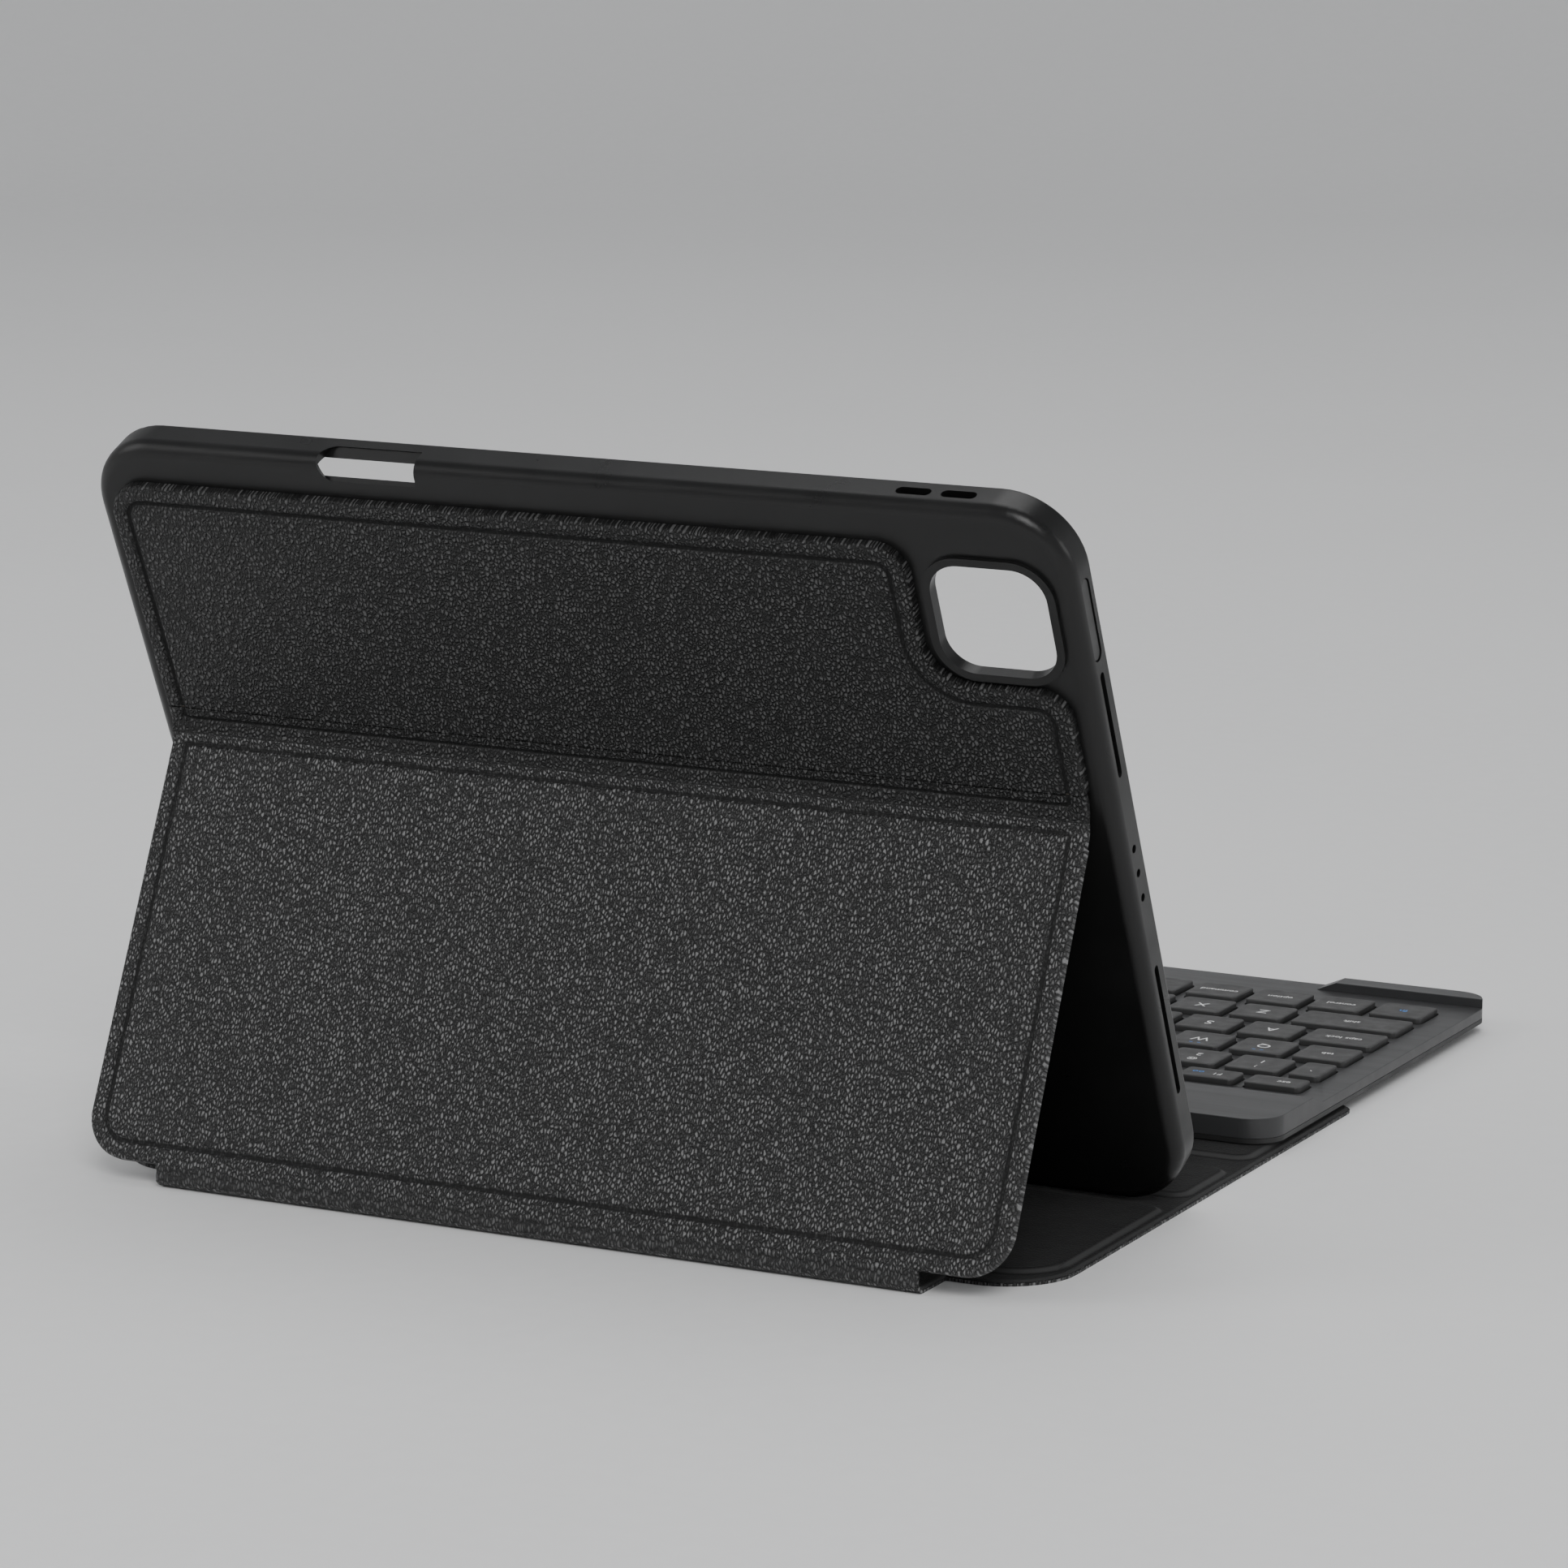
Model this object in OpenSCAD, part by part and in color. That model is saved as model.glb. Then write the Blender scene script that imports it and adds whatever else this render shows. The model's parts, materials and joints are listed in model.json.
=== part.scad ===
// Keyboard case for an 11-inch class tablet, standing open on its folded back panel.
// X runs to the user's right, Y away from the user and Z up; the table is Z = 0.

/* [Stand] */
// Lean of the shell from the vertical, in degrees
lean = 24.5; // [24:0.1:25]
// Length of the folding panel from the crease to its foot
kick_len = 106; // [105.8:0.1:107]
// Height of the folding panel's foot above the table
foot_h = 5.74; // [5.6:0.02:6]
// Width of the leather panels
panel_w = 243; // [236:1:246]
// Radius of the folding panel's lower corners
kick_corner_r = 11; // [6:1:16]

/* [Shell] */
// Outside width of the moulded shell
shell_w = 254; // [253:0.5:256]
// Height of the shell above the crease
shell_top = 80; // [79.5:0.5:82]
// Outside thickness of the shell
shell_t = 10; // [9.8:0.1:10.6]
// Corner radius of the shell's outline
shell_corner_r = 18; // [16:1:24]
// Radius of the edge between the back and the side walls
shell_edge_r = 3.5; // [2.5:0.5:4]
// Radius of the edge round the front
shell_lip_r = 1.2; // [0.8:0.1:1.4]
// Thickness of the shell's back wall
shell_back = 2; // [1.8:0.1:2.4]

/* [Tablet bay] */
// Width of the tablet that the bay holds
tablet_w = 247.6; // [246:0.2:248]
// Height of the tablet that the bay holds
tablet_h = 178.5; // [177:0.5:178.5]
// Thickness of the tablet that the bay holds
tablet_t = 5.9; // [5.4:0.1:6]
// How far the front lip reaches over the tablet's edge
lip_reach = 1.3; // [0.8:0.1:1.6]
// Side of the square camera window
camera_win = 28.5; // [26:0.5:30]
// Length of the stylus trough
trough_len = 168; // [166:1:172]

/* [Base] */
// Width of the base flap
base_w = 249.6; // [244:0.2:251]
// Corner radius at the base flap's rear
base_corner_r = 18; // [10:1:22]
// Height of the three raised plates' top
plate_top = 2.4; // [2.2:0.1:2.4]
// Width of the fold strip between the base and the folding panel
fold_w = 201; // [190:1:206]

/* [Keyboard] */
// Width of the keyboard
kb_w = 248; // [246:0.2:250]
// Corner radius of the keyboard's outline
kb_corner_r = 9; // [6:0.5:10]
// Height of the deck above the table
deck_z = 6.6; // [6.6:0.1:6.8]
// Height of the rear bar and the front lips above the table
bar_z = 9; // [8.8:0.1:9.4]
// Travel of a key
key_travel = 1.2; // [0.8:0.1:1.2]
// Gap between neighbouring keys in a row
key_gap = 2.9; // [2.6:0.1:3.2]
// Front-to-back depth of a letter key
key_depth = 14.2; // [13.6:0.1:15]
// Height of the key tops above the deck
key_rise = 1.5; // [1.3:0.1:1.9]

/* [Hidden] */

$fn = 48;
eps = 0.01;

// Shell and panel layers, measured inwards from the leather's outer face.
skin_t = 0.6;
panel_t = 2.5;
shell_d = 2.8;
ply = 1.3;
seam_gap = 0.4;
fold_play = 0.1;
edge_turn = 1.2;

// Stand geometry in the Y-Z plane, with the crease over y = 0 until the model is shifted home.
crease_z = foot_h + kick_len * cos(lean);
shell_drop = kick_len + 6.9;
// The folding panel's foot, at the middle of its skin and lining.
foot_y = kick_len * sin(lean) - ply / 2 * cos(lean);
foot_z = crease_z - kick_len * cos(lean) - ply / 2 * sin(lean);
// The fold strip bends on one arc, from the table up to the foot, and turns about two axes.
fold_turn = (90 + lean) / 2;
fold_r = (foot_z - ply / 2) / (1 - cos(2 * fold_turn));
fold_len = fold_r * fold_turn * PI / 180;
fold_bow = fold_r / 2 * (1 - cos(fold_turn)
    - sin(fold_turn) * (fold_turn * PI / 180 - sin(fold_turn)) / (1 - cos(fold_turn)));
fold_y = foot_y - fold_r * sin(2 * fold_turn) + fold_len / 2;
fold_z = ply / 2 + fold_bow;
end_gap = seam_gap + fold_play;
base_back = 29;
base_front = -162;
kb_back = -106.6;
kb_front = -262.3;
rear_y = fold_y + (fold_len - end_gap) * cos(fold_turn) + ply / 2 * sin(fold_turn);
home_y = -(kb_front + rear_y) / 2;

// Base flap layers and its three raised plates, each [rear edge, front edge].
lining_z = 1.3;
board_top = 1.8;
plates = [[20.5, -44.8], [-58.3, -84], [-97.5, -154]];
plate_inset = 4;
board_fit = 0.6;
plate_r = [12, 3, 6];
magnet_r = 5;

// Shell interior.
lining_d = shell_d + shell_back;
tray_lining_t = 0.5;
bay_fit = 0.3;
bay_top = 68.3 + bay_fit;
bay_floor = bay_top - tablet_h - 2 * bay_fit;
bay_deep = tray_lining_t + tablet_t + 0.2;
bay_r = 18;
mid_d = lining_d + tray_lining_t + tablet_t / 2;
side_wall = (shell_w - tablet_w) / 2;
camera_x = -106;
camera_v = 51;
camera_r = 8;
trough_w = 9.1;
button_v = [38.7, 60.2];
upper_h = 69.7;
notch_x = -87.6;
notch_v = 33.8;

// Keyboard layers above the table.
kb_low = 2.7;
parting_z = 3.9;
plate_z = 4.3;
membrane_z = 4.5;
wall = 1.4;
case_floor = 0.7;
screw_head = 0.9;
bar_front = -134.5;
ramp_front = -141;
lip_back = -255.4;
lip_x = [76.5, 82];
field_half = 117.05;
row_pitch = 18;
first_row_y = -165.2;
cap_top = 0.8;
cap_wall = 0.8;
cap_foot = deck_z - 0.6;
cap_high = deck_z + key_rise;
cap_play = 0.35;
cap_r = 1.4;

// Key rows: [centre y, key depth, relative key widths from left to right].
function ones(n) = [for (i = [1:n]) 1];
function_row = [-149.7, 8.9, ones(13)];
number_row = [first_row_y, key_depth, concat([0.64], ones(12), [0.75])];
upper_row = [first_row_y - row_pitch, key_depth, concat([1], ones(11), [1.39])];
home_row = [first_row_y - 2 * row_pitch, key_depth, concat([1.3], ones(11), [1.09])];
lower_row = [first_row_y - 3 * row_pitch, key_depth, concat([1.85], ones(10), [1.54])];
bottom_row = [first_row_y - 4 * row_pitch, key_depth, concat(ones(4), [5.39], ones(4))];

function total(list, n) = n <= 0 ? 0 : list[n - 1] + total(list, n - 1);
function key_unit(row) = 2 * field_half / total(row[2], len(row[2]));
// Keys are placed and sized on a 0.02 mm grid.
function snap(v) = round(v * 50) / 50;
function key_x(row, i) = snap(-field_half + (total(row[2], i) + row[2][i] / 2) * key_unit(row));
function key_width(row, i) = snap(row[2][i] * key_unit(row) - key_gap);
// One key as [x, y, width, depth].
function key(row, i) = [key_x(row, i), row[0], key_width(row, i), row[1]];
function row_keys(row, first, last) = [for (i = [first:last]) key(row, i)];
// The up and down arrows share one key's place, one behind the other.
arrow_split = 1.2;
arrow_depth = (key_depth - arrow_split) / 2;
function half_key(row, i, side) = [key_x(row, i), row[0] + side * (arrow_depth + arrow_split) / 2,
    key_width(row, i), arrow_depth];

function_list = row_keys(function_row, 0, 12);
number_list = row_keys(number_row, 0, 13);
upper_list = row_keys(upper_row, 0, 12);
home_list = row_keys(home_row, 0, 12);
lower_list = row_keys(lower_row, 0, 11);
command_list = concat(row_keys(bottom_row, 0, 3), row_keys(bottom_row, 5, 5));
space_list = row_keys(bottom_row, 4, 4);
arrow_list = [key(bottom_row, 6), half_key(bottom_row, 7, 1), half_key(bottom_row, 7, -1),
    key(bottom_row, 8)];
all_keys = concat(function_list, number_list, upper_list, home_list, lower_list, command_list,
    space_list, arrow_list);

// ---- frames -----------------------------------------------------------------------------

// The model's own frame, with the crease over y = 0.
module home() { translate([0, home_y, 0]) children(); }

// The shell's frame: Y up along the shell, Z from its back towards the user.
module shell_frame() { home() translate([0, 0, crease_z]) rotate([90 - lean, 0, 0]) children(); }

// The folding panel's frame: Y up along the panel, Z from its outer face inwards.
module kick_frame() { home() translate([0, 0, crease_z]) rotate([90 + lean, 0, 0]) children(); }

// The fold strip's frame: Y from its lower axis to its upper one, Z to its inner face.
module fold_frame() {
    home() translate([0, fold_y, fold_z]) rotate([fold_turn, 0, 0]) children();
}

// ---- shared shapes ------------------------------------------------------------------------

// Rectangle with its corners rounded: r_low at the low-Y end, r_high at the high-Y end.
module round_rect(x0, x1, y0, y1, r_low, r_high) {
    low = max(r_low, eps);
    high = max(r_high, eps);
    translate([x0, y0 + low]) square([x1 - x0, y1 - y0 - low - high]);
    translate([x0 + low, y0]) square([x1 - x0 - 2 * low, low + eps]);
    translate([x0 + high, y1 - high - eps]) square([x1 - x0 - 2 * high, high + eps]);
    for (x = [x0 + low, x1 - low]) translate([x, y0 + low]) circle(low);
    for (x = [x0 + high, x1 - high]) translate([x, y1 - high]) circle(high);
}

// Flat plate on a rounded rectangle centred on x = 0, from height z0 to z1.
module plate(w, y0, y1, z0, z1, r_low, r_high) {
    translate([0, 0, z0]) linear_extrude(z1 - z0) round_rect(-w / 2, w / 2, y0, y1, r_low, r_high);
}

// Half of a wall-to-wall section: flat inside, its back edge and front edge rounded.
module edge_section(half, t, back_r, front_r) {
    square([half - back_r, t / 2]);
    translate([0, t / 2]) square([half - front_r, t / 2]);
    translate([0, back_r]) square([half, t - back_r - front_r]);
    translate([half - back_r, back_r]) circle(back_r);
    translate([half - front_r, t - front_r]) circle(front_r);
}

module full_section(half, t, back_r, front_r) {
    edge_section(half, t, back_r, front_r);
    mirror([1, 0]) edge_section(half, t, back_r, front_r);
}

// Slab with rounded corners and rounded edges, centred, with its back at Z = 0.
module soft_slab(w, h, t, corner_r, back_r, front_r) {
    for (x = [-1, 1], y = [-1, 1])
        translate([x * (w / 2 - corner_r), y * (h / 2 - corner_r), 0])
            rotate_extrude() edge_section(corner_r, t, back_r, front_r);
    translate([0, h / 2 - corner_r, 0]) rotate([90, 0, 0])
        linear_extrude(h - 2 * corner_r) full_section(w / 2, t, back_r, front_r);
    translate([corner_r - w / 2, 0, 0]) rotate([90, 0, 90])
        linear_extrude(w - 2 * corner_r) full_section(h / 2, t, back_r, front_r);
}

// Slot with round ends, long along Y from y0 to y1, cut through along X.
module side_slot(y0, y1, d, wide, x0, x1) {
    r = wide / 2;
    translate([x0, 0, d]) rotate([0, 90, 0]) linear_extrude(x1 - x0) {
        translate([-r, y0 + r]) square([wide, y1 - y0 - wide]);
        translate([0, y0 + r]) circle(r);
        translate([0, y1 - r]) circle(r);
    }
}

// Slot with round ends, long along X from x0 to x1, cut through along Y.
module top_slot(x0, x1, d, wide, y0, y1) {
    r = wide / 2;
    translate([0, y1, d]) rotate([90, 0, 0]) linear_extrude(y1 - y0) {
        translate([x0 + r, -r]) square([x1 - x0 - wide, wide]);
        translate([x0 + r, 0]) circle(r);
        translate([x1 - r, 0]) circle(r);
    }
}

// Disc magnets at the given points, z0 to z1.
module discs(points, r, z0, z1) {
    for (p = points) translate([p[0], p[1], z0]) cylinder(r = r, h = z1 - z0);
}

// ---- base flap ----------------------------------------------------------------------------

module base_outline() {
    round_rect(-base_w / 2, base_w / 2, base_front, base_back, 6, base_corner_r);
    tongue = fold_y - end_gap;
    translate([-fold_w / 2, base_back - 5]) square([fold_w, tongue - base_back + 5]);
}

module plate_outline(i, grow) {
    w = base_w / 2 - plate_inset + grow;
    high = i == 0 ? plate_r[0] : plate_r[1];
    low = i == 2 ? plate_r[2] : plate_r[1];
    round_rect(-w, w, plates[i][1] - grow, plates[i][0] + grow, low, high);
}

module board(i) {
    translate([0, 0, skin_t]) linear_extrude(board_top - skin_t) plate_outline(i, -board_fit - 0.05);
}

strip_y = [-56, -47];
strip_w = 190;
strip_t = 0.4;
base_magnet = [20, 6];
base_magnet_x = [-96, -60, -24, 24, 60, 96];
base_magnet_y = -124;

module base_outer_skin() {
    color([0.16, 0.16, 0.17]) home() linear_extrude(skin_t) base_outline();
}

module base_lining() {
    color([0.2, 0.2, 0.21]) home() difference() {
        union() {
            translate([0, 0, skin_t]) linear_extrude(lining_z - skin_t) base_outline();
            for (i = [0:2])
                translate([0, 0, skin_t]) linear_extrude(plate_top - skin_t) plate_outline(i, 0);
        }
        for (i = [0:2])
            translate([0, 0, skin_t - 1]) linear_extrude(board_top - skin_t + 1)
                plate_outline(i, -board_fit);
        plate(strip_w, strip_y[0], strip_y[1], skin_t - 1, skin_t + strip_t, 1, 1);
    }
}

module base_board_rear() { color([0.55, 0.5, 0.4]) home() board(0); }
module base_board_middle() { color([0.55, 0.5, 0.4]) home() board(1); }

module base_magnet_blocks(grow, z0, z1) {
    for (x = base_magnet_x)
        translate([x - base_magnet[0] / 2 - grow, base_magnet_y - base_magnet[1] / 2 - grow, z0])
            cube([base_magnet[0] + 2 * grow, base_magnet[1] + 2 * grow, z1 - z0]);
}

module base_board_front() {
    color([0.55, 0.5, 0.4]) home() difference() {
        board(2);
        base_magnet_blocks(0.1, 0, plate_top);
    }
}

module base_magnets() {
    color([0.72, 0.72, 0.74]) home() base_magnet_blocks(0, skin_t, board_top);
}

module base_steel_strip() {
    color([0.6, 0.6, 0.62]) home()
        plate(strip_w, strip_y[0], strip_y[1], skin_t, skin_t + strip_t, 1, 1);
}

// ---- fold strip ---------------------------------------------------------------------------

module fold_ply(z0, z1) {
    fold_frame() translate([-fold_w / 2, end_gap, z0])
        cube([fold_w, fold_len - 2 * end_gap, z1 - z0]);
}

module fold_outer_skin() { color([0.2, 0.2, 0.2]) fold_ply(-ply / 2, 0); }
module fold_lining() { color([0.18, 0.18, 0.18]) fold_ply(0, ply / 2); }

// ---- folding panel ------------------------------------------------------------------------

kick_magnet_points = [for (x = [-96, -48, 0, 48, 96], y = [-26, -84]) [x, y]];

module kick_outline(inset) {
    low = -kick_len + end_gap + inset;
    round_rect(-panel_w / 2 + inset, panel_w / 2 - inset, low, -seam_gap - inset,
        kick_corner_r - inset, 1.5);
}

module kick_outer_skin() {
    color([0.27, 0.27, 0.27]) kick_frame() difference() {
        linear_extrude(panel_t - skin_t) kick_outline(0);
        translate([0, 0, skin_t]) linear_extrude(panel_t) kick_outline(edge_turn);
    }
}

module kick_board() {
    color([0.55, 0.5, 0.4]) kick_frame() difference() {
        translate([0, 0, skin_t]) linear_extrude(panel_t - 2 * skin_t) kick_outline(edge_turn);
        discs(kick_magnet_points, magnet_r + 0.1, 0, panel_t);
    }
}

module kick_magnets() {
    color([0.72, 0.72, 0.74]) kick_frame()
        discs(kick_magnet_points, magnet_r, skin_t, panel_t - skin_t);
}

module kick_lining() {
    color([0.12, 0.12, 0.12]) kick_frame()
        translate([0, 0, panel_t - skin_t]) linear_extrude(skin_t) kick_outline(0.8);
}

// ---- shell --------------------------------------------------------------------------------

shell_magnet_points = [for (x = [-96, -48, 0, 48, 96], y = [-26, -84]) [x, y]];
magnet_deep = 1.15;
foot_magnet = [20, 4];
foot_magnet_x = [-84, -36, 36, 84];
foot_magnet_v = -104;

module bay(inset, z0, z1) {
    plate(tablet_w + 2 * (bay_fit - inset), bay_floor + inset, bay_top - inset, z0, z1,
        bay_r - inset, bay_r - inset);
}

// Square hole with round corners on the camera's centre.
module camera_square(side, r, z0, z1) {
    translate([camera_x, camera_v, z0]) linear_extrude(z1 - z0)
        round_rect(-side / 2, side / 2, -side / 2, side / 2, r, r);
}

module foot_magnet_blocks(grow) {
    for (x = foot_magnet_x)
        translate([x - foot_magnet[0] / 2 - grow, foot_magnet_v - foot_magnet[1] / 2 - grow,
            lining_d - magnet_deep])
            cube([foot_magnet[0] + 2 * grow, foot_magnet[1] + 2 * grow, magnet_deep + grow]);
}

// Slanting-ended relief along the bottom wall, which leaves a foot at each corner.
module bottom_relief() {
    relief = 1.2;
    half = 102;
    translate([0, 0, shell_d - 1]) linear_extrude(shell_t + 2)
        polygon([[-half, -shell_drop - 1], [half, -shell_drop - 1], [half, -shell_drop],
            [half - 2 * relief, relief - shell_drop], [2 * relief - half, relief - shell_drop],
            [-half, -shell_drop]]);
}

// Window over the rounded top edge, through which the stylus is pushed out.
module stylus_window() {
    start = 36.5;
    long = 22;
    wide = 8.4;
    deep = 6;
    out = 3;
    translate([start, shell_top - 1.2, shell_d + 1.2]) rotate([45, 0, 0])
        translate([0, -wide / 2, -deep]) {
            cube([long, wide, deep + out]);
            translate([long, wide / 2, 0]) cylinder(r = wide / 2, h = deep + out);
        }
}

module stylus_trough() {
    r = 3;
    floor_d = shell_d + 1.3;
    half = trough_len / 2;
    translate([0, 0, floor_d]) linear_extrude(shell_t + 1)
        round_rect(-half, half, bay_top - 4, bay_top + trough_w, r, r);
}

// Openings along the two short sides, given by their lower and upper ends.
speaker_v = [[7.4, 35.5], [-81.9, -45.3]];
microphone_v = [-12.4, -19.1, -25.9];
cable_v = [-28.2, -13.8];
speaker_w = 2;
cable_w = 6.6;
button_w = 4;

module side_openings() {
    out = -shell_w / 2 - 1;
    inner = -tablet_w / 2 + 2;
    side_slot(button_v[0], button_v[1], mid_d, button_w, out, inner);
    for (v = speaker_v) {
        side_slot(v[0], v[1], mid_d, speaker_w, out, inner);
        side_slot(v[0], v[1], mid_d, speaker_w, -inner, -out);
    }
    for (v = microphone_v)
        translate([out, v, mid_d]) rotate([0, 90, 0]) cylinder(r = 1, h = inner - out, $fn = 24);
    side_slot(cable_v[0], cable_v[1], mid_d, cable_w, -inner, -out);
}

volume_x = [-104.5, -93.4];
volume_len = 8.6;

module volume_openings() {
    for (x = volume_x) top_slot(x, x + volume_len, mid_d, 2.8, bay_top - 3, shell_top + 1);
}

module tablet_shell() {
    middle = (shell_top - shell_drop) / 2;
    color([0.2, 0.2, 0.21]) shell_frame() difference() {
        union() {
            translate([0, middle, shell_d])
                soft_slab(shell_w, shell_top + shell_drop, shell_t, shell_corner_r, shell_edge_r,
                    shell_lip_r);
            camera_square(camera_win + 4, camera_r + 2, shell_d - 1, shell_d + 1);
        }
        bay(0, lining_d, lining_d + bay_deep);
        bay(lip_reach, lining_d + 1, shell_d + shell_t + 1);
        camera_square(camera_win, camera_r, 0, lining_d + 1);
        stylus_trough();
        stylus_window();
        side_openings();
        volume_openings();
        bottom_relief();
        discs(shell_magnet_points, magnet_r + 0.1, lining_d - magnet_deep, lining_d + 1);
        foot_magnet_blocks(0.1);
    }
}

module tray_lining() {
    color([0.14, 0.14, 0.15]) shell_frame() difference() {
        bay(1, lining_d, lining_d + tray_lining_t);
        camera_square(camera_win + 1, camera_r, 0, lining_d + 1);
        stylus_trough();
    }
}

module shell_magnets() {
    color([0.72, 0.72, 0.74]) shell_frame()
        discs(shell_magnet_points, magnet_r, lining_d - magnet_deep, lining_d);
}

module shell_foot_magnets() { color([0.72, 0.72, 0.74]) shell_frame() foot_magnet_blocks(0); }

// Leather panel over the shell's upper half, notched round the camera.
module upper_outline(inset) {
    half = panel_w / 2 - inset;
    top = upper_h - inset;
    round_rect(notch_x + inset, half, seam_gap + inset, top, 1.5, 9 - inset);
    round_rect(-half, half - 20, seam_gap + inset, notch_v - inset, 1.5, 7 - inset);
    fillet_r = 11 + inset;
    translate([notch_x + inset, notch_v - inset]) difference() {
        translate([-fillet_r, -eps]) square([fillet_r + eps, fillet_r + eps]);
        translate([-fillet_r, fillet_r]) circle(fillet_r);
    }
}

module upper_outer_skin() {
    color([0.16, 0.16, 0.16]) shell_frame() difference() {
        linear_extrude(shell_d) upper_outline(0);
        translate([0, 0, skin_t]) linear_extrude(shell_d) upper_outline(edge_turn);
    }
}

module upper_board() {
    color([0.55, 0.5, 0.4]) shell_frame()
        translate([0, 0, skin_t]) linear_extrude(shell_d - skin_t) upper_outline(edge_turn);
}

// Button cap that passes a press on to the tablet's power button.
module power_button_cap() {
    play = 0.3;
    color([0.25, 0.25, 0.26]) shell_frame()
        side_slot(button_v[0] + play, button_v[1] - play, mid_d, button_w - 2 * play,
            -shell_w / 2 + play, -shell_w / 2 + 2.4);
}

// ---- keyboard -----------------------------------------------------------------------------

module kb_outline(inset) {
    r = kb_corner_r - inset;
    round_rect(-kb_w / 2 + inset, kb_w / 2 - inset, kb_front + inset, kb_back - inset, r, r);
}

// Side view of the deck and rear bar, made larger than the outline that trims it.
module deck_profile() {
    front = kb_front - 1;
    back = kb_back + 1;
    rotate([90, 0, 90]) linear_extrude(kb_w + 2, center = true)
        polygon([[front, parting_z], [back, parting_z], [back, bar_z], [bar_front, bar_z],
            [ramp_front, deck_z], [front, deck_z]]);
}

// Raised lip across one front corner, ramped at its inner end.
module corner_lip() {
    out = kb_w / 2 + 1;
    translate([0, lip_back, 0]) rotate([90, 0, 0]) linear_extrude(lip_back - kb_front + 1)
        polygon([[lip_x[0], deck_z - 1], [out, deck_z - 1], [out, bar_z], [lip_x[1], bar_z],
            [lip_x[0], deck_z]]);
}

module key_block(k, grow, r, z0, z1) {
    translate([k[0], k[1], z0]) linear_extrude(z1 - z0)
        round_rect(-k[2] / 2 - grow, k[2] / 2 + grow, -k[3] / 2 - grow, k[3] / 2 + grow, r, r);
}

module keycaps(list) {
    for (k = list) difference() {
        key_block(k, 0, cap_r, cap_foot, cap_high);
        key_block(k, -cap_wall, cap_r - cap_wall, cap_foot - 1, cap_high - cap_top);
    }
}

port_y = -118;
port_z = 5.8;
port_half = 4.5;
port_w = 3.2;
switch_y = -127;
screw_points = [for (x = [-112, 0, 112], y = [-138, -259]) [x, y]];
light_x = [98, 102, 106];
light_y = -121;
light_r = 0.75;

field_y = [-247.5, -142.5];
field_margin = 3;

module rear_hollow(z0, z1) {
    half = kb_w / 2 - wall;
    translate([0, 0, z0]) linear_extrude(z1 - z0)
        round_rect(-half, half, bar_front + 1, kb_back - wall, 1, kb_corner_r - wall);
}

// Box under the whole key field, smaller by the inset on each side.
module field_box(inset, z0, z1) {
    half = field_half + field_margin - inset;
    translate([-half, field_y[0] + inset, z0])
        cube([2 * half, field_y[1] - field_y[0] - 2 * inset, z1 - z0]);
}

module keyboard_top_frame() {
    color([0.35, 0.35, 0.36]) home() difference() {
        intersection() {
            union() {
                deck_profile();
                corner_lip();
                mirror([1, 0, 0]) corner_lip();
            }
            linear_extrude(bar_z + 1) kb_outline(0);
        }
        field_box(0, parting_z - 1, deck_z - 1);
        rear_hollow(parting_z - 1, bar_z - 1.2);
        for (k = all_keys) key_block(k, cap_play, cap_r + cap_play, parting_z, deck_z + 1);
        side_slot(port_y - port_half - 0.2, port_y + port_half + 0.2, port_z, port_w + 0.3,
            kb_w / 2 - 3, kb_w / 2 + 1);
        side_slot(switch_y - 3, switch_y + 3, port_z, 2, kb_w / 2 - 3, kb_w / 2 + 1);
        discs([for (x = light_x) [x, light_y]], light_r, bar_z - 2, bar_z + 1);
        discs(screw_points, 0.85, parting_z - 1, parting_z + 1.8);
    }
}

module keyboard_bottom_case() {
    color([0.3, 0.3, 0.31]) home() difference() {
        translate([0, 0, kb_low]) linear_extrude(parting_z - kb_low) kb_outline(0);
        rear_hollow(kb_low + case_floor, parting_z + 1);
        discs(screw_points, 0.85, kb_low - 1, parting_z + 1);
        discs(screw_points, 1.5, kb_low - 1, kb_low + screw_head);
    }
}

module case_screws() {
    color([0.5, 0.5, 0.52]) home() {
        discs(screw_points, 1.4, kb_low, kb_low + screw_head);
        discs(screw_points, 0.8, kb_low + screw_head - 0.1, parting_z + 1.6);
    }
}

module key_support_plate() {
    color([0.6, 0.6, 0.62]) home() field_box(1, parting_z, plate_z);
}

module membrane_circuit() {
    color([0.75, 0.8, 0.7]) home() field_box(1.5, plate_z, membrane_z);
}

// Domes as high as a pressed key leaves them, with the base ring lower than the middle.
module rubber_domes() {
    high = cap_high - cap_top - key_travel - membrane_z - 0.5;
    color([0.85, 0.85, 0.82]) home() for (k = all_keys) {
        r = min(2.2, k[3] / 2 - 1.9);
        discs([k], r, membrane_z, membrane_z + high - 0.5);
        discs([k], r - 0.6, membrane_z, membrane_z + high);
    }
}

module scissor_frames() {
    bar = 0.7;
    key_least = 9;
    color([0.9, 0.9, 0.9]) home() for (k = all_keys) if (min(k[2], k[3]) > key_least) {
        w = min(9, k[2] - 4);
        d = min(9, k[3] - 4);
        translate([k[0], k[1], membrane_z]) linear_extrude(bar) difference() {
            square([w, d], center = true);
            square([w - 2 * bar, d - 2 * bar], center = true);
        }
    }
}

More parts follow.
